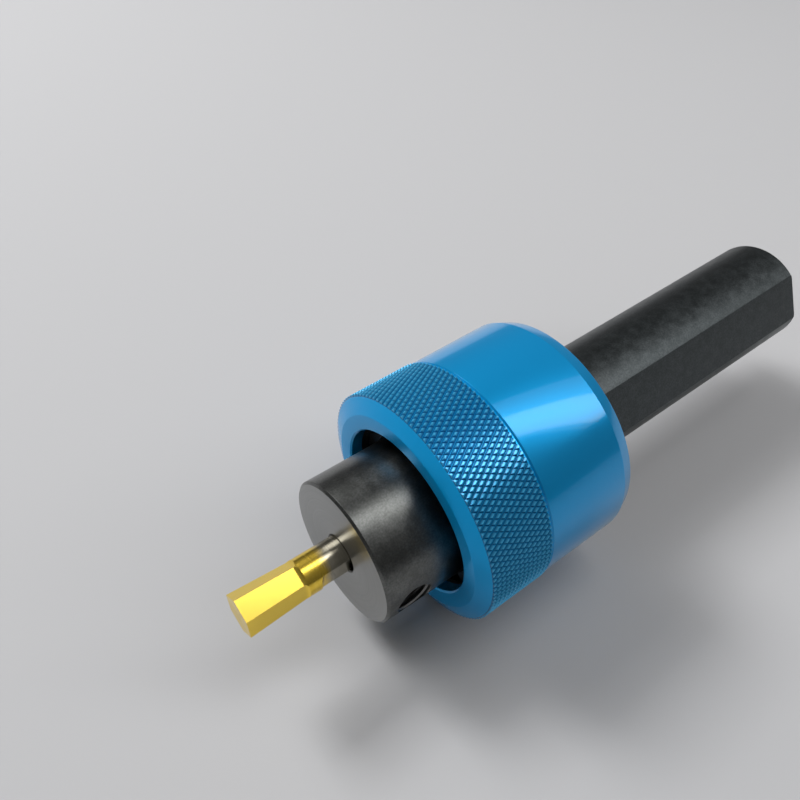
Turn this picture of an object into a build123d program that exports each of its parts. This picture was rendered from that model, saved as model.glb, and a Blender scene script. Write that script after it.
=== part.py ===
from build123d import *
import math
import os

os.makedirs("parts", exist_ok=True)

# All lengths are in millimetres. The X axis is the axis of the shank.
# X = 0 is the shoulder where the shank leaves the head, and the broach points towards -X.

# Fits
slip = 0.03
running = 0.04
thread_play = 0.05
rolling = 0.03

# Shank
shank_r = 12.5
shank_length = 76.0
shank_end_round = 0.5
shank_flat_depth = 1.4
shank_flat_angle = -26.0
centre_hole_r = 3.0

# Tilted spindle line. It meets the shank axis at the tip of the broach.
tilt = 1.5
tool_reach = 22.7
nose_proud = 15.4
nose_chamfer = 0.5
nose_step = 0.5
journal_r = 10.0
journal_gap = 0.5
vent_r = 2.0

# Bearing stack, measured along the spindle line
bearing_width = 9.0
bearing_edge = 0.5
race_wall = 2.8
race_depth = 0.85
ball_r = 2.3
ball_count = 10
cage_wall = 1.9
cage_rim = 0.7
retainer_setback = 1.0
retainer_thickness = 3.0
retainer_gap = 0.5
retainer_step = 0.5
retainer_wall = 2.85
spanner_slots = 8
spanner_slot_width = 2.4
spanner_slot_depth = 1.2
nut_rise = 0.7
nut_thickness = 3.5
nut_slots = 4
nut_slot_width = 3.0
nut_slot_depth = 1.5
thrust_step = 1.0
thrust_plate = 1.0
roller_r = 1.0
roller_margin = 1.55
roller_count = 16
thrust_cage_thickness = 1.4
thrust_cage_wall = 0.8

# Head of the shank, aluminium sleeve and knurled ring, from the bearings outwards
head_wall = 3.0
rim_step = 1.5
rim_length = 4.0
sleeve_wall = 3.7
sleeve_length = 23.0
sleeve_rear_chamfer = 3.0
sleeve_rear_drop = 1.2
edge_break = 0.35
ring_proud = 0.3
ring_length = 16.6
ring_mouth_gap = 2.95
ring_bevel = 1.6
ring_bevel_drop = 3.9
ring_flange = 3.0
washer_thickness = 1.0
washer_gap = 0.15

# Broach
broach_length = 44.5
broach_shank_r = 4.0
hex_across_flats = 7.9
hex_back_taper = 1.05
hex_length = 13.3
hex_runout = 0.9
hex_blank_margin = 0.05
hex_angle = -8.0
hex_land = 0.3
dish_depth = 0.35
broach_tail_chamfer = 0.4
clamp_flat_depth = 1.0
clamp_flat_start = 15.9

# Set screw that clamps the broach
screw_r = 3.9
screw_length = 8.0
screw_setback = 6.5
screw_point_r = 2.5
screw_point_length = 0.8
screw_socket = 4.0
screw_socket_depth = 4.0
screw_angle = 9.0
screw_mouth = 0.1
screw_hole_margin = 0.3

# Radii that follow from the sizes above
inner_land_r = journal_r + race_wall
pitch_r = inner_land_r + ball_r - race_depth
outer_land_r = 2 * pitch_r - inner_land_r
bearing_r = outer_land_r + race_wall
race_r = ball_r + rolling
cage_width = 2 * (ball_r + cage_rim)
retainer_thread_r = bearing_r + retainer_step
retainer_bore_r = retainer_thread_r - retainer_wall
nose_r = retainer_bore_r - retainer_gap
nut_r = inner_land_r + nut_rise
thrust_r = bearing_r - thrust_step
roller_length = thrust_r - journal_r - 2 * roller_margin
head_r = retainer_thread_r + head_wall
rim_r = head_r + rim_step
sleeve_r = head_r + sleeve_wall
ring_r = sleeve_r + ring_proud
ring_face_r = ring_r - ring_bevel_drop
ring_mouth_r = nose_r + ring_mouth_gap

# Places along the axis that follow from the sizes above
sleeve_front = -sleeve_length
ring_front = sleeve_front - ring_length
head_front = ring_front + ring_flange + washer_thickness
tip_x = ring_front - nose_proud - tool_reach
nose_face = tool_reach
head_mouth = head_front - tip_x
retainer_front = head_mouth + retainer_setback
bearing_1 = retainer_front + retainer_thickness
bearing_2 = bearing_1 + bearing_width
nut_front = bearing_2 + bearing_width
thrust_front = nut_front + nut_thickness
roller_line = thrust_front + thrust_plate + rolling + roller_r
thrust_rear = roller_line + roller_r + rolling
pocket_floor = thrust_rear + thrust_plate
spindle_line = Location((tip_x, 0, 0), (0, tilt, 0))


def turned(*points):
    """Solid of revolution about X from (x, radius) corners."""
    return revolve(make_face(Polyline(*points, close=True)), Axis.X)


def tube(x0, x1, inner, outer):
    """Plain ring along X."""
    return turned((x0, inner), (x0, outer), (x1, outer), (x1, inner))


def around(shape, count, turn=0.0):
    """Copies of a shape spaced evenly about X."""
    return [Rot(turn + 360 * k / count, 0, 0) * shape for k in range(count)]


def flat_cutter(x0, x1, height, reach, angle):
    """Block that mills a flat at a height on the -Y side, turned about X."""
    block = Pos((x0 + x1) / 2, -height - reach / 2, 0) * Box(x1 - x0, reach, 4 * reach)
    return Rot(angle, 0, 0) * block


def save(shape, node):
    """Write one piece to its own file."""
    shape.label = node
    export_step(shape, f"parts/{node}.step")


# Shank body: a shank with a flat up to the shoulder, and a head bored out on the tilted line
shank_end = shank_length
shank_body = turned(
    (head_front, 0),
    (head_front, head_r - edge_break),
    (head_front + edge_break, head_r),
    (-rim_length, head_r),
    (-rim_length, rim_r),
    (0, rim_r),
    (0, shank_r),
    (shank_end, shank_r),
    (shank_end, centre_hole_r),
    (shank_end - centre_hole_r * math.sqrt(3), 0),
)
end_edges = shank_body.edges().filter_by(GeomType.CIRCLE).filter_by_position(
    Axis.X, shank_end, shank_end
)
shank_body = fillet(end_edges.sort_by(SortBy.RADIUS)[-1], shank_end_round)
pocket = turned(
    (head_mouth - retainer_setback * 2, 0),
    (head_mouth - retainer_setback * 2, retainer_thread_r + slip),
    (bearing_1, retainer_thread_r + slip),
    (bearing_1, bearing_r + slip),
    (nut_front, bearing_r + slip),
    (nut_front, thrust_r + slip),
    (pocket_floor, thrust_r + slip),
    (pocket_floor, 0),
)
shank_body -= spindle_line * pocket
flat_height = shank_r - shank_flat_depth
shank_body -= flat_cutter(0, shank_end, flat_height, shank_r, shank_flat_angle)
save(shank_body, "shank_body")

# Sleeve: drops over the head from the front and stops on the rim
housing_sleeve = turned(
    (sleeve_front, head_r + slip),
    (sleeve_front, sleeve_r - edge_break),
    (sleeve_front + edge_break, sleeve_r),
    (-sleeve_rear_chamfer, sleeve_r),
    (0, sleeve_r - sleeve_rear_drop),
    (0, rim_r + slip),
    (-rim_length, rim_r + slip),
    (-rim_length, head_r + slip),
)
save(housing_sleeve, "housing_sleeve")

# Knurled ring: screws onto the front of the head and clamps the sleeve
flange_rear = ring_front + ring_flange
thread_bore_r = head_r + thread_play
knurled_ring = turned(
    (ring_front, ring_mouth_r + edge_break),
    (ring_front, ring_face_r),
    (ring_front + ring_bevel, ring_r),
    (sleeve_front - edge_break, ring_r),
    (sleeve_front, ring_r - edge_break),
    (sleeve_front, thread_bore_r),
    (flange_rear, thread_bore_r),
    (flange_rear, ring_mouth_r),
    (ring_front + edge_break, ring_mouth_r),
)
save(knurled_ring, "knurled_ring")

# Slip washer between the ring's flange and the end of the head
slip_washer = tube(flange_rear, head_front, ring_mouth_r + washer_gap, head_r - edge_break)
save(slip_washer, "slip_washer")

# Bearing retainer: a slotted nut in the mouth of the tilted bore
retainer = tube(retainer_front, bearing_1, retainer_bore_r, retainer_thread_r)
slot_reach = 2 * (retainer_thread_r - retainer_bore_r)
slot_radius = (retainer_thread_r + retainer_bore_r) / 2
slot = Box(2 * spanner_slot_depth, spanner_slot_width, slot_reach)
retainer -= around(Pos(retainer_front, 0, slot_radius) * slot, spanner_slots)
save(spindle_line * retainer, "bearing_retainer")


# Ball bearings: two rings with a race, a row of balls and a cage
def make_bearing(name, front):
    rear = front + bearing_width
    middle = front + bearing_width / 2
    race = Pos(middle, 0, 0) * Rot(0, 90, 0) * Torus(pitch_r, race_r)
    outer = turned(
        (front, outer_land_r),
        (front, bearing_r - bearing_edge),
        (front + bearing_edge, bearing_r),
        (rear - bearing_edge, bearing_r),
        (rear, bearing_r - bearing_edge),
        (rear, outer_land_r),
    )
    inner = turned(
        (front, journal_r),
        (front, inner_land_r),
        (rear, inner_land_r),
        (rear, journal_r),
    )
    balls = around(Pos(middle, 0, pitch_r) * Sphere(ball_r), ball_count)
    cage = tube(
        middle - cage_width / 2,
        middle + cage_width / 2,
        pitch_r - cage_wall / 2,
        pitch_r + cage_wall / 2,
    )
    pocket_tool = Pos(middle, 0, pitch_r) * Cylinder(ball_r + rolling, 3 * cage_wall)
    cage -= around(pocket_tool, ball_count)
    save(spindle_line * (outer - race), f"{name}_outer_ring")
    save(spindle_line * (inner - race), f"{name}_inner_ring")
    save(spindle_line * Compound(children=balls), f"{name}_balls")
    save(spindle_line * cage, f"{name}_cage")


make_bearing("front", bearing_1)
make_bearing("rear", bearing_2)

# Spindle nut: holds the inner rings against the nose and pushes on the thrust bearing
spindle_nut = tube(nut_front, thrust_front, journal_r, nut_r)
nut_slot = Box(2 * nut_thickness, nut_slot_width, 2 * nut_slot_depth)
nut_middle = (nut_front + thrust_front) / 2
spindle_nut -= around(Pos(nut_middle, 0, nut_r) * nut_slot, nut_slots)
save(spindle_line * spindle_nut, "spindle_nut")

# Thrust bearing: two plates with radial rollers in a flat cage
front_plate = tube(thrust_front, thrust_front + thrust_plate, journal_r, thrust_r - running)
rear_plate = tube(thrust_rear, pocket_floor, journal_r + running, thrust_r)
roller_pitch_r = (journal_r + thrust_r) / 2
roller = Pos(roller_line, 0, roller_pitch_r) * Cylinder(roller_r, roller_length)
rollers = around(roller, roller_count)
thrust_cage = tube(
    roller_line - thrust_cage_thickness / 2,
    roller_line + thrust_cage_thickness / 2,
    roller_pitch_r - roller_length / 2 - thrust_cage_wall,
    roller_pitch_r + roller_length / 2 + thrust_cage_wall,
)
window = Box(2 * thrust_cage_thickness, 2 * (roller_r + rolling), roller_length + 2 * rolling)
thrust_cage -= around(Pos(roller_line, 0, roller_pitch_r) * window, roller_count)
save(spindle_line * front_plate, "thrust_front_plate")
save(spindle_line * rear_plate, "thrust_rear_plate")
save(spindle_line * Compound(children=rollers), "thrust_rollers")
save(spindle_line * thrust_cage, "thrust_cage")

# Spindle: round nose with the broach socket, and a journal for the bearings
screw_place = nose_face + screw_setback
screw_seat = broach_shank_r - clamp_flat_depth
journal_end = pocket_floor - journal_gap
nose_rear = bearing_1 - nose_step
spindle = turned(
    (nose_face, 0),
    (nose_face, nose_r - nose_chamfer),
    (nose_face + nose_chamfer, nose_r),
    (nose_rear, nose_r),
    (nose_rear, inner_land_r),
    (bearing_1, inner_land_r),
    (bearing_1, journal_r),
    (journal_end, journal_r),
    (journal_end, 0),
)
socket_r = broach_shank_r + slip
spindle -= turned(
    (nose_face - edge_break, 0),
    (nose_face - edge_break, socket_r + 2 * edge_break),
    (nose_face + edge_break, socket_r),
    (broach_length, socket_r),
    (broach_length, vent_r),
    (journal_end + 1, vent_r),
    (journal_end + 1, 0),
)
screw_hole_floor = screw_seat - screw_hole_margin
screw_hole = turned(
    (screw_hole_floor, 0),
    (screw_hole_floor, screw_r + thread_play),
    (nose_r - 2 * screw_mouth, screw_r + thread_play),
    (nose_r + screw_mouth, screw_r + thread_play + 1.2 * screw_mouth),
    (nose_r + screw_mouth, 0),
)
screw_axis = Rot(screw_angle, 0, 0) * Pos(screw_place, 0, 0) * Rot(0, 0, -90)
spindle -= screw_axis * screw_hole
save(spindle_line * spindle, "spindle")

# Set screw: hollow hexagon at the outer end and a short point on the flat of the broach
screw_top = screw_seat + screw_length
set_screw = turned(
    (screw_seat, 0),
    (screw_seat, screw_point_r),
    (screw_seat + screw_point_length, screw_r),
    (screw_top - edge_break, screw_r),
    (screw_top, screw_r - edge_break),
    (screw_top, 0),
)
key = RegularPolygon(screw_socket / 2, 6, major_radius=False)
key_socket = extrude(Plane.YZ.offset(screw_top - screw_socket_depth) * key, screw_socket_depth + 1)
set_screw -= key_socket
save(spindle_line * screw_axis * set_screw, "set_screw")

# Broach: a bar with six flats that taper back and run out in a radius, a dished face and a clamp flat
corner_r = hex_across_flats / math.sqrt(3)
flat_front = hex_across_flats / 2
flat_rear = flat_front - hex_back_taper / 2
flat_end = hex_length - hex_runout
flat_slope = (flat_front - flat_rear) / flat_end
tail = broach_length - broach_tail_chamfer
bar = turned(
    (0, 0),
    (0, corner_r + hex_blank_margin),
    (flat_end, broach_shank_r),
    (tail, broach_shank_r),
    (broach_length, broach_shank_r - broach_tail_chamfer),
    (broach_length, 0),
)
run_out = TangentArc((flat_end, -flat_rear), (hex_length, -broach_shank_r), tangent=(1, flat_slope))
wheel_sides = Polyline(
    (hex_length, -broach_shank_r),
    (hex_length, -2 * corner_r),
    (-1, -2 * corner_r),
    (-1, -flat_front - flat_slope),
    (flat_end, -flat_rear),
)
flat_wheel = extrude(make_face(run_out + wheel_sides), 2 * corner_r, both=True)
dish_r = flat_front - hex_land
dish = turned((-1, 0), (-1, dish_r), (0, dish_r), (dish_depth, 0))
broach = bar - around(flat_wheel, 6, hex_angle) - dish
flat_start = clamp_flat_start + clamp_flat_depth
broach -= flat_cutter(flat_start, broach_length + 1, screw_seat, broach_shank_r, screw_angle)
clamp_wheel = Pos(flat_start, -broach_shank_r, 0) * Cylinder(clamp_flat_depth, 4 * broach_shank_r)
broach -= Rot(screw_angle, 0, 0) * clamp_wheel
save(spindle_line * broach, "broach")

print("tip", round(tip_x, 3), "ring front", ring_front, "pocket floor", round(pocket_floor, 3))
print("thread travel", round(sleeve_front - head_front, 3))
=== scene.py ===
import math

import bmesh
import bpy
from mathutils import Matrix, Vector


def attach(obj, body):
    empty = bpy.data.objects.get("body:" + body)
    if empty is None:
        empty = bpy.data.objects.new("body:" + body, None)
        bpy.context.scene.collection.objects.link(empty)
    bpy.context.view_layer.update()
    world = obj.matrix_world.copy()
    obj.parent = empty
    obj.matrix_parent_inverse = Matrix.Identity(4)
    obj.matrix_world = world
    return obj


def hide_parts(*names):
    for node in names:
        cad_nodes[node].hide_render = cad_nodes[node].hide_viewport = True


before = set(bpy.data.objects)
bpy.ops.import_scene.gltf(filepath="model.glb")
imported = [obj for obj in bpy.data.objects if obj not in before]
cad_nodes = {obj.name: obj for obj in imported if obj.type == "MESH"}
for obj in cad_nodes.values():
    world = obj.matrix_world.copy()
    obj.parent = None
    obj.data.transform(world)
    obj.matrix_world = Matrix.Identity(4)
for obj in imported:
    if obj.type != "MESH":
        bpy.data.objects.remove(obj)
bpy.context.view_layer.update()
scene = bpy.context.scene


# Camera
# One short lens looks down on the holder from beyond the broach. The place, the direction and the
# focal length are those at which the outlines of the turned pieces fall where they do in the picture.

camera = bpy.data.objects.new("camera", bpy.data.cameras.new("camera"))
camera.data.sensor_width = 36.0
camera.data.lens = 36.045
camera.location = (-0.096686, -0.074038, 0.135198)
camera.rotation_euler = (math.radians(42.629), 0.0, math.radians(-37.232))
scene.collection.objects.link(camera)
scene.camera = camera
scene.view_settings.view_transform = "Standard"


# Shank and head
# One steel turning: a plain shank with a clamping flat, a rim that stops the sleeve, and a head that
# is bored out on the tilted line. It is machined all over, then blackened in hot oxide salts.

# Lengths are in millimetres until a mesh is made. Along the shank x counts from the shoulder, and
# along the tilted line it counts from the tip of the broach.
MM = 0.001
SHARP_FROM = math.radians(18)
SHANK_END = 75.999
SHANK_R = 12.5
CENTRE_R = 3.0
FLAT_HEIGHT = 11.1
FLAT_TURN = math.radians(-26.0)
RIM_R = 23.5
RIM_FRONT = -4.0
HEAD_R = 22.0
HEAD_FRONT = -35.6
THREAD_REAR = -23.5
THREAD_PITCH = 2.0
THREAD_DEPTH = 0.95
THREAD_FOOT_SHARE = 0.72
THREAD_CREST_SHARE = 0.14
THREAD_SINK = 0.03
THREAD_POINTS = 96
TIP_X = -77.7
TILT = math.radians(1.5)
TILTED_LINE = Matrix.Translation((TIP_X * MM, 0, 0)) @ Matrix.Rotation(TILT, 4, "Y")
POCKET_FRONT = 40.0
RETAINER_BORE_R = 19.03
BEARING_FRONT = 46.1
BEARING_BORE_R = 18.53
THRUST_FRONT = 64.1
THRUST_BORE_R = 17.53
BORE_BOTTOM = 71.66


def outline(corners, closed):
    """Points of a profile from (x, radius, rounding) corners, with each rounding drawn as an arc."""
    points = []
    for i, (x, r, rounding) in enumerate(corners):
        here = Vector((x, r))
        inside = closed or 0 < i < len(corners) - 1
        if not rounding or not inside:
            points.append(here)
            continue
        before = (Vector(corners[i - 1][:2]) - here).normalized()
        after = (Vector(corners[(i + 1) % len(corners)][:2]) - here).normalized()
        half = before.angle(after) / 2
        reach = rounding / math.tan(half)
        centre = here + (before + after).normalized() * rounding / math.sin(half)
        start = here + before * reach - centre
        end = here + after * reach - centre
        parts = max(2, math.ceil(math.degrees(start.angle(end)) / 15))
        for k in range(parts + 1):
            points.append(centre + start.slerp(end, k / parts) * rounding)
    return points


def piece_from(bm, name):
    """An object from a bmesh in millimetres: metres, outward faces, smooth but for its sharp edges."""
    bmesh.ops.remove_doubles(bm, verts=bm.verts, dist=1e-6)
    bmesh.ops.recalc_face_normals(bm, faces=bm.faces)
    mesh = bpy.data.meshes.new(name)
    bm.to_mesh(mesh)
    bm.free()
    mesh.transform(Matrix.Scale(MM, 4))
    mesh.shade_smooth()
    mesh.set_sharp_from_angle(angle=SHARP_FROM)
    piece = bpy.data.objects.new(name, mesh)
    scene.collection.objects.link(piece)
    return piece


def turned(name, corners, closed=False, sides=192):
    """A piece turned about the X axis from (x, radius, rounding) corners in millimetres."""
    bm = bmesh.new()
    rings = []
    for x, r in outline(corners, closed):
        if r < 1e-6:
            rings.append([bm.verts.new((x, 0, 0))])
            continue
        angles = [2 * math.pi * k / sides for k in range(sides)]
        rings.append([bm.verts.new((x, -r * math.cos(a), r * math.sin(a))) for a in angles])
    pairs = list(zip(rings, rings[1:]))
    if closed:
        pairs.append((rings[-1], rings[0]))
    for first, second in pairs:
        for k in range(sides):
            loop = [first[k % len(first)], first[(k + 1) % sides % len(first)]]
            loop += [second[(k + 1) % sides % len(second)], second[k % len(second)]]
            loop = list(dict.fromkeys(loop))
            if len(loop) > 2:
                bm.faces.new(loop)
    return piece_from(bm, name)


def block(name, low, high):
    """A plain block between two corners in millimetres, used as a milling cutter."""
    bm = bmesh.new()
    bmesh.ops.create_cube(bm, size=1)
    for v in bm.verts:
        for axis in range(3):
            v.co[axis] = high[axis] if v.co[axis] > 0 else low[axis]
    return piece_from(bm, name)


def settle(piece):
    """Bakes a piece's modifiers into a plain mesh."""
    view = bpy.context.evaluated_depsgraph_get()
    mesh = bpy.data.meshes.new_from_object(piece.evaluated_get(view))
    piece.modifiers.clear()
    piece.data = mesh
    mesh.name = piece.name
    mesh.set_sharp_from_angle(angle=SHARP_FROM)


def cut(piece, *cutters):
    """Cuts a piece with the cutters, which are used up."""
    for cutter in cutters:
        boolean = piece.modifiers.new("cut", "BOOLEAN")
        boolean.operation = "DIFFERENCE"
        boolean.solver = "EXACT"
        boolean.object = cutter
        settle(piece)
        bpy.data.objects.remove(cutter)


def placed(piece, matrix):
    """Moves a piece's mesh, so that its object stays at the origin."""
    piece.data.transform(matrix)
    return piece


def add(tree, kind, links=None, **settings):
    """A shader or geometry node with its settings, and its inputs linked or set by name or number."""
    node = tree.nodes.new(kind)
    for key, value in settings.items():
        setattr(node, key, value)
    for key, value in (links or {}).items():
        if isinstance(value, bpy.types.NodeSocket):
            tree.links.new(value, node.inputs[key])
        else:
            node.inputs[key].default_value = value
    return node


def new_finish(name, **values):
    """A material with its shader, whose plain sockets are set by name."""
    material = bpy.data.materials.new(name)
    material.use_nodes = True
    tree = material.node_tree
    shader = tree.nodes["Principled BSDF"]
    for key, value in values.items():
        shader.inputs[key.replace("_", " ")].default_value = value
    return material, tree, shader


def lathe_place(tree, tilted):
    """Place on a turned piece, as sockets: along its axis, its radius and its own coordinates."""
    where = add(tree, "ShaderNodeTexCoord").outputs["Object"]
    own = add(tree, "ShaderNodeMapping", {"Vector": where}, vector_type="TEXTURE")
    if tilted:
        own.inputs["Location"].default_value = (TIP_X * MM, 0, 0)
        own.inputs["Rotation"].default_value = (0, TILT, 0)
    own = own.outputs[0]
    across = add(tree, "ShaderNodeVectorMath", {0: own, 1: (0, 1, 1)}, operation="MULTIPLY")
    radius = add(tree, "ShaderNodeVectorMath", {0: across.outputs[0]}, operation="LENGTH")
    along = add(tree, "ShaderNodeSeparateXYZ", {0: own}).outputs["X"]
    return along, radius.outputs["Value"], own


def tool_marks(tree, tilted, spacing, length):
    """Fine grooves left by the tool: they change quickly along the profile and slowly round it."""
    along, radius, own = lathe_place(tree, tilted)
    profile = add(tree, "ShaderNodeMath", {0: along, 1: radius}, operation="ADD")
    fine = add(tree, "ShaderNodeMath", {0: profile.outputs[0], 1: 1 / (spacing * MM)}, operation="MULTIPLY")
    slow = add(tree, "ShaderNodeVectorMath", {0: own, "Scale": 1 / (length * MM)}, operation="SCALE")
    parts = add(tree, "ShaderNodeSeparateXYZ", {0: slow.outputs[0]})
    sockets = {0: fine.outputs[0], 1: parts.outputs["Y"], 2: parts.outputs["Z"]}
    place = add(tree, "ShaderNodeCombineXYZ", sockets)
    return add(tree, "ShaderNodeTexNoise", {"Vector": place.outputs[0], "Scale": 1.0, "Detail": 3.0})


def blend_colours(tree, share, first, second):
    """Two colours mixed by a socket."""
    mix = add(tree, "ShaderNodeMix", {"Factor": share}, data_type="RGBA")
    for name, colour in (("A", first), ("B", second)):
        socket = next(s for s in mix.inputs if s.name == name and s.type == "RGBA")
        if isinstance(colour, bpy.types.NodeSocket):
            tree.links.new(colour, socket)
        else:
            socket.default_value = (*colour, 1.0)
    return next(s for s in mix.outputs if s.type == "RGBA")


def span(tree, value, low, high, to_low=0.0, to_high=1.0):
    """A socket's range mapped onto another, with its ends held."""
    sockets = {"Value": value, "From Min": low, "From Max": high, "To Min": to_low, "To Max": to_high}
    return add(tree, "ShaderNodeMapRange", sockets).outputs["Result"]


def turned_relief(tree, shader, height, strength, depth):
    """Bumps from a height socket, and highlights drawn out as on any turned or ground face."""
    bump = add(tree, "ShaderNodeBump", {"Strength": strength, "Distance": depth, "Height": height})
    tree.links.new(bump.outputs[0], shader.inputs["Normal"])
    tangent = add(tree, "ShaderNodeTangent", direction_type="RADIAL", axis="X")
    tree.links.new(tangent.outputs[0], shader.inputs["Tangent"])


def black_oxide(name, tilted, dark, light, rough, uneven=0.06, bare_before=None, bare=None):
    """Blackened steel: satin, mottled by the salts, with faint tool marks, and bare where it is faced."""
    material, tree, shader = new_finish(name, Metallic=1.0, Anisotropic=0.35, Anisotropic_Rotation=0.25)
    along, _, own = lathe_place(tree, tilted)
    sockets = {"Vector": own, "Scale": 420.0, "Detail": 5.0, "Roughness": 0.62}
    blotches = add(tree, "ShaderNodeTexNoise", sockets)
    grain = add(tree, "ShaderNodeTexNoise", {"Vector": own, "Scale": 2600.0, "Detail": 3.0})
    marks = tool_marks(tree, tilted, 0.35, 40.0)
    mottle = add(tree, "ShaderNodeMath", {0: blotches.outputs[0], 1: grain.outputs[0]}, operation="MULTIPLY")
    share = span(tree, mottle.outputs[0], 0.14, 0.40)
    colour = blend_colours(tree, share, dark, light)
    rougher = span(tree, blotches.outputs[0], 0.3, 0.7, rough - uneven, rough + uneven)
    if bare_before is not None:
        faced = span(tree, along, (bare_before - 0.02) * MM, (bare_before + 0.04) * MM, 1.0, 0.0)
        ring_marks = span(tree, marks.outputs[0], 0.3, 0.7)
        pale = blend_colours(tree, ring_marks, [c * 0.86 for c in bare], bare)
        colour = blend_colours(tree, faced, colour, pale)
    tree.links.new(colour, shader.inputs["Base Color"])
    tree.links.new(rougher, shader.inputs["Roughness"])
    relief = add(tree, "ShaderNodeMath", {0: marks.outputs[0], 1: grain.outputs[0]}, operation="ADD")
    turned_relief(tree, shader, relief.outputs[0], 0.25, 0.00002)
    return material


def thread_tree():
    """Geometry nodes that sweep one thread ridge along a helix about X and give it its material."""
    tree = bpy.data.node_groups.new("thread_ridge", "GeometryNodeTree")
    face = tree.interface
    face.new_socket("Geometry", in_out="OUTPUT", socket_type="NodeSocketGeometry")
    for socket in ("Start", "Radius", "Pitch", "Turns", "Height", "Lean"):
        face.new_socket(socket, in_out="INPUT", socket_type="NodeSocketFloat")
    face.new_socket("Points", in_out="INPUT", socket_type="NodeSocketInt")
    face.new_socket("Material", in_out="INPUT", socket_type="NodeSocketMaterial")
    given = add(tree, "NodeGroupInput").outputs
    rise = add(tree, "ShaderNodeMath", {0: given["Pitch"], 1: given["Turns"]}, operation="MULTIPLY")
    sockets = {"Resolution": given["Points"], "Rotations": given["Turns"], "Height": rise.outputs[0]}
    sockets |= {"Start Radius": given["Radius"], "End Radius": given["Radius"]}
    helix = add(tree, "GeometryNodeCurveSpiral", sockets)
    upright = add(tree, "GeometryNodeSetCurveNormal", {0: helix.outputs[0]}, mode="Z_UP")
    foot = add(tree, "ShaderNodeMath", {0: given["Pitch"], 1: THREAD_FOOT_SHARE}, operation="MULTIPLY")
    crest = add(tree, "ShaderNodeMath", {0: given["Pitch"], 1: THREAD_CREST_SHARE}, operation="MULTIPLY")
    sockets = {"Bottom Width": foot.outputs[0], "Top Width": crest.outputs[0]}
    sockets |= {"Height": given["Height"], "Offset": 0.0}
    ridge = add(tree, "GeometryNodeCurvePrimitiveQuadrilateral", sockets, mode="TRAPEZOID")
    lean = add(tree, "ShaderNodeCombineXYZ", {"Z": given["Lean"]})
    leant = add(tree, "GeometryNodeTransform", {"Geometry": ridge.outputs[0], "Rotation": lean.outputs[0]})
    sockets = {"Curve": upright.outputs[0], "Profile Curve": leant.outputs[0], "Fill Caps": True}
    sweep = add(tree, "GeometryNodeCurveToMesh", sockets)
    shift = add(tree, "ShaderNodeCombineXYZ", {"X": given["Start"]})
    sockets = {"Geometry": sweep.outputs[0], "Translation": shift.outputs[0]}
    sockets["Rotation"] = (0.0, math.radians(90), 0.0)
    turn = add(tree, "GeometryNodeTransform", sockets)
    real = add(tree, "GeometryNodeRealizeInstances", {0: turn.outputs[0]})
    made = add(tree, "GeometryNodeSetMaterial", {"Geometry": real.outputs[0], "Material": given["Material"]})
    add(tree, "NodeGroupOutput", {0: made.outputs[0]})
    return tree


def grown(name, tree, **values):
    """Runs a geometry node tree with its inputs set, and keeps the plain mesh that it makes."""
    piece = bpy.data.objects.new(name, bpy.data.meshes.new(name))
    scene.collection.objects.link(piece)
    modifier = piece.modifiers.new("grow", "NODES")
    modifier.node_group = tree
    sockets = {s.name: s.identifier for s in tree.interface.items_tree if s.in_out == "INPUT"}
    for key, value in values.items():
        modifier[sockets[key.replace("_", " ")]] = value
    settle(piece)
    piece.data.materials.clear()
    piece.data.materials.append(values["Material"])
    bm = bmesh.new()
    bm.from_mesh(piece.data)
    bmesh.ops.remove_doubles(bm, verts=bm.verts, dist=1e-8)
    bmesh.ops.recalc_face_normals(bm, faces=bm.faces)
    bm.to_mesh(piece.data)
    bm.free()
    return piece


blackened = black_oxide("blackened_shank", False, (0.058, 0.066, 0.068), (0.102, 0.114, 0.118), 0.40)
shank = turned("shank", [
    (SHANK_END - CENTRE_R * math.sqrt(3), 0, 0),
    (SHANK_END, CENTRE_R, 0.1),
    (SHANK_END, SHANK_R, 0.5),
    (0, SHANK_R, 0.15),
    (0, RIM_R, 0.1),
    (RIM_FRONT, RIM_R, 0.1),
    (RIM_FRONT, HEAD_R, 0),
    (THREAD_REAR + 1.6, HEAD_R, 0.1),
    (THREAD_REAR + 0.6, HEAD_R - THREAD_DEPTH, 0),
    (HEAD_FRONT, HEAD_R - THREAD_DEPTH, 0.1),
    (HEAD_FRONT, 0, 0),
])
pocket = turned("pocket", [
    (POCKET_FRONT, 0, 0),
    (POCKET_FRONT, RETAINER_BORE_R, 0),
    (BEARING_FRONT, RETAINER_BORE_R, 0),
    (BEARING_FRONT, BEARING_BORE_R, 0),
    (THRUST_FRONT, BEARING_BORE_R, 0),
    (THRUST_FRONT, THRUST_BORE_R, 0),
    (BORE_BOTTOM, THRUST_BORE_R, 0),
    (BORE_BOTTOM, 0, 0),
])
flat_cutter = block("flat_cutter", (0.02, -30.0, -20.0), (SHANK_END + 5, -FLAT_HEIGHT, 20.0))
cut(shank, placed(pocket, TILTED_LINE), placed(flat_cutter, Matrix.Rotation(FLAT_TURN, 4, "X")))
shank.data.materials.append(blackened)
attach(shank, "holder")
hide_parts("shank_body")

OUTWARD = math.radians(90)
threads = thread_tree()
head_thread = grown(
    "head_thread", threads, Start=(HEAD_FRONT + 0.9) * MM, Pitch=THREAD_PITCH * MM, Turns=5.2,
    Radius=(HEAD_R - THREAD_DEPTH / 2 - THREAD_SINK) * MM, Height=THREAD_DEPTH * MM,
    Lean=OUTWARD, Points=THREAD_POINTS, Material=blackened,
)
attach(head_thread, "holder")


# Thrust bearing
# It takes the push of the broach: two ground steel plates, sixteen small rollers between them and a
# flat pressed cage that spaces the rollers. It lies at the bottom of the tilted bore.

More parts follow.
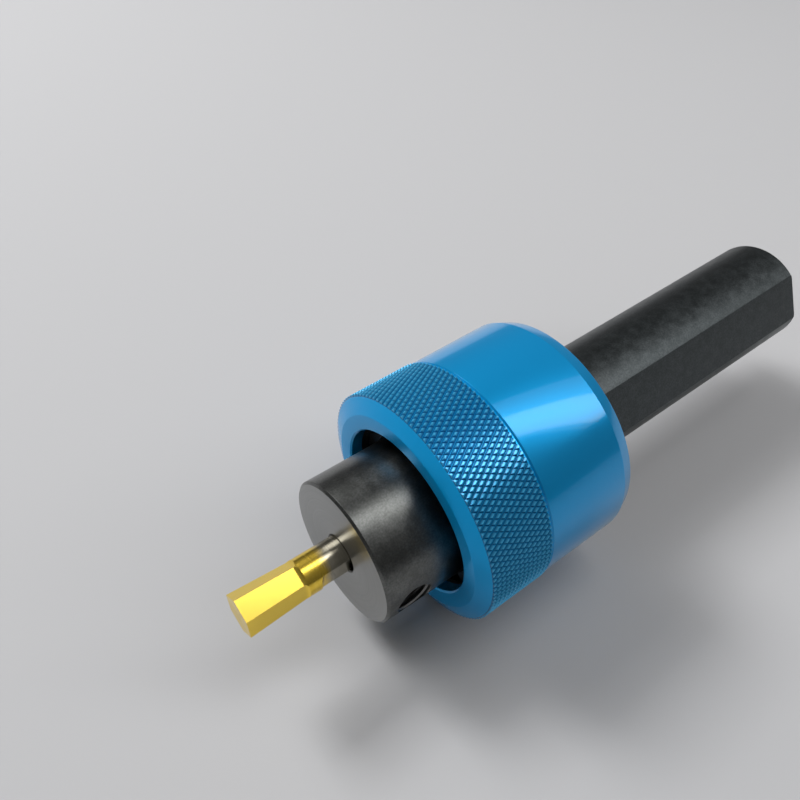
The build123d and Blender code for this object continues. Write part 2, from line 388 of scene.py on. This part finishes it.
def ground_steel(name, colour, rough, spacing):
    """Ground steel with the fine lines of the wheel, on the tilted line."""
    material, tree, shader = new_finish(name, Metallic=1.0, Anisotropic=0.4, Anisotropic_Rotation=0.25)
    marks = tool_marks(tree, True, spacing, 30.0)
    tint = span(tree, marks.outputs[0], 0.3, 0.7)
    tree.links.new(
        blend_colours(tree, tint, [c * 0.88 for c in colour], colour), shader.inputs["Base Color"]
    )
    tree.links.new(span(tree, marks.outputs[0], 0.3, 0.7, rough, rough + 0.12), shader.inputs["Roughness"])
    turned_relief(tree, shader, marks.outputs[0], 0.2, 0.00001)
    return material


def sheet_steel(name, colour, rough):
    """Pressed sheet: a grey skin with a soft rolled grain and small scuffs."""
    material, tree, shader = new_finish(name, Metallic=1.0)
    own = lathe_place(tree, True)[2]
    grain = add(tree, "ShaderNodeTexNoise", {"Vector": own, "Scale": 1500.0, "Detail": 5.0})
    tint = span(tree, grain.outputs[0], 0.3, 0.7)
    tree.links.new(
        blend_colours(tree, tint, [c * 0.8 for c in colour], colour), shader.inputs["Base Color"]
    )
    tree.links.new(span(tree, grain.outputs[0], 0.3, 0.7, rough, rough + 0.15), shader.inputs["Roughness"])
    bump = add(tree, "ShaderNodeBump", {"Strength": 0.15, "Distance": 0.00002, "Height": grain.outputs[0]})
    tree.links.new(bump.outputs[0], shader.inputs["Normal"])
    return material


def dress(material, *names):
    """Gives CAD nodes that keep their own shape a material."""
    for name in names:
        for place in cad_nodes[name].material_slots:
            place.material = material


bearing_steel = ground_steel("bearing_steel", (0.60, 0.60, 0.61), 0.16, 0.12)
cage_steel = sheet_steel("cage_steel", (0.42, 0.42, 0.41), 0.32)
dress(bearing_steel, "thrust_front_plate", "thrust_rear_plate", "thrust_rollers")
dress(cage_steel, "thrust_cage")


# Spindle nut
# A thin slotted nut behind the inner rings. It is blackened steel, pulls the inner rings against the
# nose, and its rear face pushes on the thrust bearing.

blackened_small = black_oxide(
    "blackened_small_parts", True, (0.035, 0.037, 0.037), (0.075, 0.077, 0.076), 0.36,
)
dress(blackened_small, "spindle_nut")


# Ball bearings
# Two equal bearings side by side: hardened and ground rings, ten polished balls and a pressed cage in
# each. The outer rings sit in the head, and the inner rings on the journal of the spindle.

ball_steel = ground_steel("ball_steel", (0.68, 0.68, 0.69), 0.06, 0.5)
for row in ("front", "rear"):
    dress(bearing_steel, f"{row}_outer_ring", f"{row}_inner_ring")
    dress(ball_steel, f"{row}_balls")
    dress(cage_steel, f"{row}_cage")


# Spindle
# A blackened steel turning with a round nose, a bored socket for the broach, a tapped hole in the
# side of the nose, and a ground journal behind. Its front face was turned clean after blackening.
# The thread in the hole is painted pale: painted light on ridges that little light reaches.

NOSE_FACE = 22.7
NOSE_R = 15.65
NOSE_REAR = 45.6
NOSE_EDGE = 0.5
RING_SEAT_R = 12.8
JOURNAL_R = 10.0
JOURNAL_END = 71.16
SOCKET_R = 4.03
SOCKET_END = 44.5
SOCKET_EDGE = 0.35
SCREW_PLACE = 29.2
SCREW_TURN = math.radians(9.0)
SCREW_HOLE_R = 3.95
SCREW_PITCH = 1.0
SCREW_SEAT = 3.0
SCREW_RIDGE = 0.42
RIDGE_MIDDLE = 0.19
COUNTERSINK = 0.18
VENT_R = 2.0
SCREW_LINE = (
    TILTED_LINE
    @ Matrix.Rotation(SCREW_TURN, 4, "X")
    @ Matrix.Translation((SCREW_PLACE * MM, 0, 0))
    @ Matrix.Rotation(math.radians(-90), 4, "Z")
)

nose_finish = black_oxide(
    "blackened_nose", True, (0.10, 0.103, 0.099), (0.165, 0.169, 0.163), 0.31,
    uneven=0.03, bare_before=NOSE_FACE, bare=(0.42, 0.425, 0.42),
)
spindle = turned("spindle_nose", [
    (SOCKET_END, VENT_R, 0.1),
    (SOCKET_END, SOCKET_R, 0),
    (NOSE_FACE + SOCKET_EDGE, SOCKET_R, 0.05),
    (NOSE_FACE, SOCKET_R + SOCKET_EDGE, 0.05),
    (NOSE_FACE, NOSE_R - NOSE_EDGE, 0.08),
    (NOSE_FACE + NOSE_EDGE, NOSE_R, 0.08),
    (NOSE_REAR, NOSE_R, 0.2),
    (NOSE_REAR, RING_SEAT_R, 0),
    (BEARING_FRONT, RING_SEAT_R, 0.05),
    (BEARING_FRONT, JOURNAL_R, 0),
    (JOURNAL_END, JOURNAL_R, 0.4),
    (JOURNAL_END, VENT_R, 0.2),
], closed=True, sides=256)
screw_hole = turned("screw_hole", [
    (SCREW_SEAT - 0.3, 0, 0),
    (SCREW_SEAT - 0.3, SCREW_HOLE_R, 0),
    (NOSE_R - 0.25, SCREW_HOLE_R, 0),
    (NOSE_R + 0.1, SCREW_HOLE_R + COUNTERSINK, 0),
    (NOSE_R + 2, SCREW_HOLE_R + COUNTERSINK, 0),
    (NOSE_R + 2, 0, 0),
], sides=128)
placed(spindle, TILTED_LINE)
cut(spindle, placed(screw_hole, SCREW_LINE))
spindle.data.materials.append(nose_finish)
# The pale thread colour is painted light: it lifts the ridges deep in the hole, where little light reaches.
bare_thread = ground_steel("bare_thread", (0.22, 0.22, 0.215), 0.35, 0.3)
hole_thread = grown(
    "hole_thread", threads, Start=(SCREW_SEAT + 7.7) * MM, Pitch=SCREW_PITCH * MM, Turns=4.3,
    Radius=(SCREW_HOLE_R - RIDGE_MIDDLE) * MM, Height=SCREW_RIDGE * MM,
    Lean=-OUTWARD, Points=THREAD_POINTS, Material=bare_thread,
)
placed(hole_thread, SCREW_LINE)
for part in (spindle, hole_thread):
    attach(part, "spindle_unit")
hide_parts("spindle")


# Bearing retainer
# A flat ring nut that screws into the mouth of the tilted bore and holds the outer rings. It is
# blackened steel, with eight slots for a pin spanner, and shows in the dark gap round the nose.

RETAINER_FRONT = 43.1
RETAINER_THICK = 3.0
RETAINER_HOLE_R = 16.15
RETAINER_R = 19.0
SLOT_COUNT = 8
SLOT_DEPTH = 1.2
SLOT_HALF = 1.2

retainer = turned("bearing_retainer_nut", [
    (RETAINER_FRONT, RETAINER_HOLE_R, 0.15),
    (RETAINER_FRONT, RETAINER_R, 0.25),
    (RETAINER_FRONT + RETAINER_THICK, RETAINER_R, 0.1),
    (RETAINER_FRONT + RETAINER_THICK, RETAINER_HOLE_R, 0.1),
], closed=True)
slots = []
for k in range(SLOT_COUNT):
    low = (RETAINER_FRONT - SLOT_DEPTH, -SLOT_HALF, 12.0)
    high = (RETAINER_FRONT + SLOT_DEPTH, SLOT_HALF, 22.0)
    slot_turn = Matrix.Rotation(2 * math.pi * k / SLOT_COUNT, 4, "X")
    slots.append(placed(block(f"slot_{k}", low, high), slot_turn))
cut(retainer, *slots)
placed(retainer, TILTED_LINE)
retainer.data.materials.append(blackened_small)
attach(retainer, "holder")
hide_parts("bearing_retainer")


# Sleeve
# An aluminium tube that covers the head, turned with a fine feed and anodised light blue. It drops
# over the head from the front and stops on the rim, and its rear edge has a wide flat chamfer.

SLEEVE_FRONT = -23.0
SLEEVE_R = 25.7
SLEEVE_EDGE = 0.35
SLEEVE_FIT = 0.03
CHAMFER_START = -3.0
CHAMFER_DEPTH = 1.2


def anodised(name, colour, deep, rough, feed, relief, coat, coat_rough):
    """Turned aluminium under a clear blue oxide layer: metal lines below, a smooth hard coat above."""
    material, tree, shader = new_finish(
        name, Metallic=0.42, Roughness=rough, Specular_IOR_Level=0.1,
        Anisotropic=0.4, Anisotropic_Rotation=0.25,
        Coat_Weight=coat, Coat_Roughness=coat_rough, Coat_IOR=1.42,
    )
    own = lathe_place(tree, False)[2]
    lines = tool_marks(tree, False, feed, 25.0)
    patches = add(tree, "ShaderNodeTexNoise", {"Vector": own, "Scale": 60.0, "Detail": 1.0})
    share = span(tree, patches.outputs[0], 0.2, 0.8)
    tree.links.new(blend_colours(tree, share, deep, colour), shader.inputs["Base Color"])
    turned_relief(tree, shader, lines.outputs[0], relief, 0.00001)
    return material


blue_sleeve = anodised(
    "blue_sleeve", (0.001, 0.32, 0.70), (0.001, 0.312, 0.685),
    rough=0.28, feed=0.5, relief=0.02, coat=0.8, coat_rough=0.07,
)
sleeve = turned("sleeve", [
    (SLEEVE_FRONT, HEAD_R + SLEEVE_FIT, 0),
    (SLEEVE_FRONT, SLEEVE_R - SLEEVE_EDGE, 0.1),
    (SLEEVE_FRONT + SLEEVE_EDGE, SLEEVE_R, 0.1),
    (CHAMFER_START, SLEEVE_R, 0.12),
    (0, SLEEVE_R - CHAMFER_DEPTH, 0.12),
    (0, RIM_R + SLEEVE_FIT, 0),
    (RIM_FRONT, RIM_R + SLEEVE_FIT, 0),
    (RIM_FRONT, HEAD_R + SLEEVE_FIT, 0),
], closed=True, sides=256)
sleeve.data.materials.append(blue_sleeve)
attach(sleeve, "holder")
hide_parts("housing_sleeve")


# Slip washer
# A thin ring of dark plastic between the flange of the knurled ring and the end of the head. It lies
# loose and lets the ring be tightened without rubbing.

def slip_plastic(name):
    """Moulded dark plastic with a fine matt skin."""
    material, tree, shader = new_finish(name, Metallic=0.0)
    own = lathe_place(tree, False)[2]
    skin = add(tree, "ShaderNodeTexNoise", {"Vector": own, "Scale": 4000.0, "Detail": 2.0})
    share = span(tree, skin.outputs[0], 0.3, 0.7)
    tree.links.new(
        blend_colours(tree, share, (0.012, 0.012, 0.013), (0.022, 0.022, 0.024)), shader.inputs["Base Color"]
    )
    tree.links.new(span(tree, skin.outputs[0], 0.3, 0.7, 0.45, 0.6), shader.inputs["Roughness"])
    return material


dress(slip_plastic("dark_plastic"), "slip_washer")


# Knurled ring
# The same blue aluminium, screwed onto the head so that it clamps the sleeve. The flat front face is
# turned bright, a shallow cone leads out from it, and a diamond knurl is pressed in round the outside.

RING_FRONT = -39.6
RING_MOUTH_R = 18.6
MOUTH_EDGE = 0.35
RING_FIT = 0.05
WASHER_FRONT = -36.6
RING_FACE_R = 22.1
RING_BEVEL_END = -38.0
RING_R = 26.0
KNURL_REAR = -23.35
KNURL_ROOT_R = 25.5
KNURL_TEETH = 121
KNURL_ROWS = 14
KNURL_STEP = (KNURL_REAR - RING_BEVEL_END) / (KNURL_ROWS - 1)
ROOT_AHEAD = 0.205


def knurl_tooth(name, keep=None):
    """One pressed diamond, pointing up the Z axis and standing on the root of the knurl. One family of
    grooves is wider than the other, so its top is a short ridge along a diagonal. For the first and
    last rows, keep points to the half that stays."""
    half_tooth = math.pi * RING_R / KNURL_TEETH
    levels = [
        (KNURL_ROOT_R - 0.06, 1.10, 1.14),
        (KNURL_ROOT_R, 1.02, 0.94),
        (KNURL_ROOT_R + 0.16, 0.90, 0.66),
        (RING_R - 0.10, 0.60, 0.26),
        (RING_R - 0.02, 0.48, 0.10),
    ]
    bm = bmesh.new()
    loops = []
    for z, long_way, short_way in levels:
        near, far = (long_way - short_way) / 2, (long_way + short_way) / 2
        ring = [(far * KNURL_STEP, near * half_tooth), (near * KNURL_STEP, far * half_tooth)]
        ring += [(-x, -y) for x, y in ring]
        loops.append([bm.verts.new((x, y, math.sqrt(z * z - y * y))) for x, y in ring])
    for low, high in zip(loops, loops[1:]):
        for k in range(4):
            bm.faces.new((low[k], low[(k + 1) % 4], high[(k + 1) % 4], high[k]))
    bm.faces.new(loops[0])
    bm.faces.new(loops[-1])
    if keep:
        everything = [*bm.verts, *bm.edges, *bm.faces]
        bmesh.ops.bisect_plane(bm, geom=everything, plane_co=(0, 0, RING_R), plane_no=keep, clear_inner=True)
        bmesh.ops.holes_fill(bm, edges=[edge for edge in bm.edges if edge.is_boundary])
    return piece_from(bm, name)


def knurl_tree():
    """Geometry nodes that set diamonds in staggered rows about X, with half diamonds at both ends."""
    tree = bpy.data.node_groups.new("diamond_knurl", "GeometryNodeTree")
    face = tree.interface
    face.new_socket("Geometry", in_out="OUTPUT", socket_type="NodeSocketGeometry")
    for socket in ("Teeth", "Rows"):
        face.new_socket(socket, in_out="INPUT", socket_type="NodeSocketInt")
    for socket in ("First Row", "Row Step"):
        face.new_socket(socket, in_out="INPUT", socket_type="NodeSocketFloat")
    for socket in ("Tooth", "Front Half", "Rear Half"):
        face.new_socket(socket, in_out="INPUT", socket_type="NodeSocketObject")
    face.new_socket("Material", in_out="INPUT", socket_type="NodeSocketMaterial")
    given = add(tree, "NodeGroupInput").outputs

    def work(operation, a, b=0.0):
        return add(tree, "ShaderNodeMath", {0: a, 1: b}, operation=operation).outputs[0]

    count = work("MULTIPLY", given["Teeth"], given["Rows"])
    line = add(tree, "GeometryNodeMeshLine", {"Count": count})
    points = add(tree, "GeometryNodeMeshToPoints", {0: line.outputs[0]})
    index = add(tree, "GeometryNodeInputIndex").outputs[0]
    row = work("FLOOR", work("DIVIDE", index, given["Teeth"]))
    column = work("MODULO", index, given["Teeth"])
    stagger = work("MULTIPLY", work("MODULO", row, 2.0), 0.5)
    turn = work("DIVIDE", work("ADD", column, stagger), given["Teeth"])
    angle = work("MULTIPLY", turn, 2 * math.pi)
    x = work("ADD", given["First Row"], work("MULTIPLY", row, given["Row Step"]))
    place = add(tree, "ShaderNodeCombineXYZ", {"X": x}).outputs[0]
    rotation = add(tree, "ShaderNodeCombineXYZ", {"X": angle}).outputs[0]
    spread = add(tree, "GeometryNodeSetPosition", {"Geometry": points.outputs[0], "Position": place})
    last = work("SUBTRACT", given["Rows"], 1.0)
    first_row = work("LESS_THAN", row, 0.5)
    last_row = work("GREATER_THAN", row, work("SUBTRACT", last, 0.5))
    middle = work("SUBTRACT", work("SUBTRACT", 1.0, first_row), last_row)
    join = add(tree, "GeometryNodeJoinGeometry")
    for socket, rows in (("Tooth", middle), ("Front Half", first_row), ("Rear Half", last_row)):
        shape = add(tree, "GeometryNodeObjectInfo", {"Object": given[socket]})
        sockets = {"Points": spread.outputs[0], "Selection": rows, "Rotation": rotation}
        sockets["Instance"] = shape.outputs["Geometry"]
        copies = add(tree, "GeometryNodeInstanceOnPoints", sockets)
        tree.links.new(copies.outputs[0], join.inputs[0])
    real = add(tree, "GeometryNodeRealizeInstances", {0: join.outputs[0]})
    made = add(tree, "GeometryNodeSetMaterial", {"Geometry": real.outputs[0], "Material": given["Material"]})
    add(tree, "NodeGroupOutput", {0: made.outputs[0]})
    return tree


blue_ring = anodised(
    "blue_ring", (0.001, 0.39, 0.84), (0.001, 0.375, 0.81),
    rough=0.2, feed=0.4, relief=0.04, coat=0.1, coat_rough=0.07,
)
blue_knurl = anodised(
    "blue_knurl", (0.001, 0.40, 0.84), (0.001, 0.35, 0.76),
    rough=0.26, feed=0.5, relief=0.1, coat=0.7, coat_rough=0.16,
)
# The knurl is painted dark in its grooves, a painted shade, and pale on its crests, a painted highlight.
tree = blue_knurl.node_tree
height = lathe_place(tree, False)[1]
shade_to_highlight = span(tree, height, (KNURL_ROOT_R + 0.12) * MM, (RING_R - 0.05) * MM)
painted_knurl_shade_and_highlight = blend_colours(tree, shade_to_highlight, (0.001, 0.15, 0.36), (0.06, 0.46, 0.80))
tree.links.new(painted_knurl_shade_and_highlight, tree.nodes["Principled BSDF"].inputs["Base Color"])
ring = turned("ring", [
    (RING_FRONT, RING_MOUTH_R + MOUTH_EDGE, 0.08),
    (RING_FRONT, RING_FACE_R, 0.06),
    (RING_BEVEL_END - ROOT_AHEAD, KNURL_ROOT_R, 0),
    (SLEEVE_FRONT, KNURL_ROOT_R, 0.08),
    (SLEEVE_FRONT, HEAD_R + RING_FIT, 0.1),
    (WASHER_FRONT, HEAD_R + RING_FIT, 0),
    (WASHER_FRONT, RING_MOUTH_R, 0.05),
    (RING_FRONT + MOUTH_EDGE, RING_MOUTH_R, 0.08),
], closed=True, sides=256)
ring.data.materials.append(blue_ring)
tooth_shapes = [
    knurl_tooth("tooth"),
    knurl_tooth("front_half_tooth", keep=(1.0, 0.0, -0.4)),
    knurl_tooth("rear_half_tooth", keep=(-1.0, 0.0, 0.0)),
]
knurl = grown(
    "ring_knurl", knurl_tree(), Teeth=KNURL_TEETH, Rows=KNURL_ROWS,
    First_Row=RING_BEVEL_END * MM, Row_Step=KNURL_STEP * MM,
    Tooth=tooth_shapes[0], Front_Half=tooth_shapes[1], Rear_Half=tooth_shapes[2], Material=blue_knurl,
)
for shape in tooth_shapes:
    bpy.data.objects.remove(shape)
for part in (ring, knurl):
    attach(part, "ring")
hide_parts("knurled_ring")


# Broach
# The cutting tool: a hardened steel hexagon that tapers back from a dished face, on a round shank
# with a clamp flat. The front is coated gold, and the coating fades out along the shank.

HEX_FRONT_HEIGHT = 3.95
HEX_REAR_HEIGHT = 3.425
FLAT_END = 12.4
RUN_OUT_END = 13.3
HEX_TURN = math.radians(-8.0)
BROACH_R = 4.0
BROACH_END = SOCKET_END
BROACH_EDGE = 0.4
CLAMP_FLAT = 3.0
CLAMP_START = 16.9
WHEEL_R = 1.0
FADE_START = 17.2
FADE_END = 18.8
DISH_RIM = 0.3
DISH_DEPTH = 0.35


def coated_steel(name):
    """Ground tool steel under a thin gold coating that thins out behind the hexagon."""
    material, tree, shader = new_finish(name, Metallic=1.0, Anisotropic=0.3, Anisotropic_Rotation=0.25)
    along, _, own = lathe_place(tree, True)
    marks = tool_marks(tree, True, 0.14, 12.0)
    behind = span(tree, along, (RUN_OUT_END - 1.0) * MM, RUN_OUT_END * MM)
    drift = add(tree, "ShaderNodeTexNoise", {"Vector": own, "Scale": 500.0, "Detail": 3.0})
    ragged = span(tree, drift.outputs[0], 0.2, 0.8, -0.6 * MM, 0.6 * MM)
    place = add(tree, "ShaderNodeMath", {0: along, 1: ragged}, operation="ADD")
    fade = span(tree, place.outputs[0], FADE_START * MM, FADE_END * MM)
    lines = span(tree, marks.outputs[0], 0.3, 0.7)
    tint = add(tree, "ShaderNodeMath", {0: lines, 1: behind}, operation="MULTIPLY").outputs[0]
    gold = blend_colours(tree, tint, (0.98, 0.70, 0.11), (0.86, 0.58, 0.06))
    steel = blend_colours(tree, tint, (0.44, 0.40, 0.30), (0.58, 0.54, 0.44))
    tree.links.new(blend_colours(tree, fade, gold, steel), shader.inputs["Base Color"])
    tree.links.new(span(tree, tint, 0.0, 1.0, 0.2, 0.28), shader.inputs["Roughness"])
    turned_relief(tree, shader, tint, 0.2, 0.00001)
    return material


def flat_wheel(turn):
    """The path of the grinding wheel over one flat: it slopes inwards and runs out in a radius."""
    clear = 3 * BROACH_R
    slope = (HEX_FRONT_HEIGHT - HEX_REAR_HEIGHT) / FLAT_END
    start, end = Vector((FLAT_END, HEX_REAR_HEIGHT)), Vector((RUN_OUT_END, BROACH_R))
    up = Vector((slope, 1)).normalized()
    centre = start + up * (end - start).length_squared / (2 * (end - start).dot(up))
    path = [(-1, clear), (-1, HEX_FRONT_HEIGHT + slope)]
    for k in range(11):
        arm = (start - centre).slerp(end - centre, k / 10) * (start - centre).length
        path.append(centre + arm)
    path.append((RUN_OUT_END, clear))
    bm = bmesh.new()
    sides = [[bm.verts.new((x, -y, z)) for x, y in path] for z in (-clear, clear)]
    for k in range(len(path)):
        after = (k + 1) % len(path)
        bm.faces.new((sides[0][k], sides[0][after], sides[1][after], sides[1][k]))
    for side in sides:
        bm.faces.new(side)
    return placed(piece_from(bm, "flat_wheel"), Matrix.Rotation(turn, 4, "X"))


broach = turned("broach_tool", [
    (0, 0, 0),
    (0, HEX_FRONT_HEIGHT * 2 / math.sqrt(3) + 0.05, 0),
    (FLAT_END, BROACH_R, 0),
    (BROACH_END - BROACH_EDGE, BROACH_R, 0),
    (BROACH_END, BROACH_R - BROACH_EDGE, 0),
    (BROACH_END, 0, 0),
])
cut(broach, *[flat_wheel(HEX_TURN + math.radians(60 * k)) for k in range(6)])
dish = turned("dish", [
    (-1, 0, 0),
    (-1, HEX_FRONT_HEIGHT - DISH_RIM, 0),
    (0, HEX_FRONT_HEIGHT - DISH_RIM, 0),
    (DISH_DEPTH, 0, 0),
])
clamp = block("clamp", (CLAMP_START, -9.0, -9.0), (BROACH_END + 1, -CLAMP_FLAT, 9.0))
wheel = turned("wheel", [(-9, 0, 0), (-9, WHEEL_R, 0), (9, WHEEL_R, 0), (9, 0, 0)], sides=96)
wheel_place = Matrix.Translation((CLAMP_START * MM, -BROACH_R * MM, 0))
placed(wheel, wheel_place @ Matrix.Rotation(math.radians(90), 4, "Y"))
for cutter in (clamp, wheel):
    placed(cutter, Matrix.Rotation(SCREW_TURN, 4, "X"))
cut(broach, dish, clamp, wheel)
placed(broach, TILTED_LINE)
broach.data.materials.append(coated_steel("coated_broach_steel"))
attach(broach, "tool")
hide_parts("broach")


# Set screw
# A short blackened screw with a hexagon socket. It sits below the surface of the nose, and its point
# presses on the clamp flat of the broach.

SCREW_TOP = 11.0
SCREW_CORE_R = 3.45
SCREW_POINT_R = 2.5
KEY_WIDTH = 4.0
KEY_DEPTH = 4.0

set_screw = turned("clamp_set_screw", [
    (SCREW_SEAT, 0, 0),
    (SCREW_SEAT, SCREW_POINT_R, 0.1),
    (SCREW_SEAT + 0.8, SCREW_CORE_R, 0),
    (SCREW_TOP - 0.4, SCREW_CORE_R, 0.05),
    (SCREW_TOP, SCREW_CORE_R - 0.3, 0.05),
    (SCREW_TOP, 0, 0),
], sides=96)
bm = bmesh.new()
corner_r = KEY_WIDTH / math.sqrt(3)
key_middle = SCREW_TOP - KEY_DEPTH / 2 + 0.5
bmesh.ops.create_cone(
    bm, cap_ends=True, segments=6, radius1=corner_r, radius2=corner_r, depth=KEY_DEPTH + 1.0,
    matrix=Matrix.Translation((key_middle, 0, 0)) @ Matrix.Rotation(math.radians(90), 4, "Y"),
)
cut(set_screw, piece_from(bm, "key_socket"))
placed(set_screw, SCREW_LINE)
set_screw.data.materials.append(blackened_small)
screw_thread = grown(
    "screw_thread", threads, Start=(SCREW_SEAT + 1.2) * MM, Pitch=SCREW_PITCH * MM, Turns=6.2,
    Radius=(SCREW_CORE_R + RIDGE_MIDDLE) * MM, Height=SCREW_RIDGE * MM,
    Lean=OUTWARD, Points=THREAD_POINTS, Material=blackened_small,
)
placed(screw_thread, SCREW_LINE)
for part in (set_screw, screw_thread):
    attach(part, "clamp_screw")
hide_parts("set_screw")


# Floor and light
# A plain pale paper floor, on which the holder lies on its ring. Two soft boxes overhead draw the
# bright band along the sleeve. A large box at the back lights the nose and the shank, a small one
# in its place deepens the shadow and draws no highlight, and a pale room fills in the rest.

FLOOR = -0.026
FLOOR_HALF = 3.0
OVERHEAD_WAY = (0.73, -0.68, 0.0)
BEHIND = (-0.25, 0.75, 0.85)

floor_mesh = bpy.data.meshes.new("floor")
corners = [(x * FLOOR_HALF, y * FLOOR_HALF, FLOOR) for x, y in ((-1, -1), (1, -1), (1, 1), (-1, 1))]
floor_mesh.from_pydata(corners, [], [(0, 1, 2, 3)])
floor = bpy.data.objects.new("floor", floor_mesh)
scene.collection.objects.link(floor)
paper = new_finish("pale_paper", Base_Color=(0.52, 0.52, 0.53, 1.0), Roughness=0.9)[0]
floor.data.materials.append(paper)


def soft_box(name, place, long_way, size, strength):
    """A rectangular lamp that faces the holder, with its second side turned towards long_way."""
    lamp = bpy.data.lights.new(name, "AREA")
    lamp.shape = "RECTANGLE"
    lamp.size, lamp.size_y = size
    lamp.energy = strength
    box = bpy.data.objects.new(name, lamp)
    back = Vector(place).normalized()
    side = Vector(long_way).cross(back).normalized()
    facing = Matrix((side, back.cross(side), back)).transposed().to_4x4()
    box.matrix_world = Matrix.Translation(place) @ facing
    scene.collection.objects.link(box)
    return box


soft_box("overhead_box", (0.421, -0.204, 0.72), OVERHEAD_WAY, (0.37, 1.04), 1.25)
soft_box("overhead_tube", (0.360, -0.251, 0.70), OVERHEAD_WAY, (0.18, 1.0), 2.0)
soft_box("back_box", BEHIND, (1.0, 0.0, 0.0), (0.6, 0.6), 5.5)
key_box = soft_box("key_box", BEHIND, (1.0, 0.0, 0.0), (0.3, 0.3), 6.0)
key_box.visible_glossy = False

world = bpy.data.worlds.new("room")
scene.world = world
world.use_nodes = True
tree = world.node_tree
direction = add(tree, "ShaderNodeTexCoord").outputs["Generated"]
height = add(tree, "ShaderNodeSeparateXYZ", {0: direction}).outputs["Z"]
level = span(tree, height, 0.0, 0.7, 0.09, 0.18)
glow = tree.nodes["Background"]
tree.links.new(level, glow.inputs["Strength"])
glow.inputs["Color"].default_value = (1.0, 1.0, 1.0, 1.0)
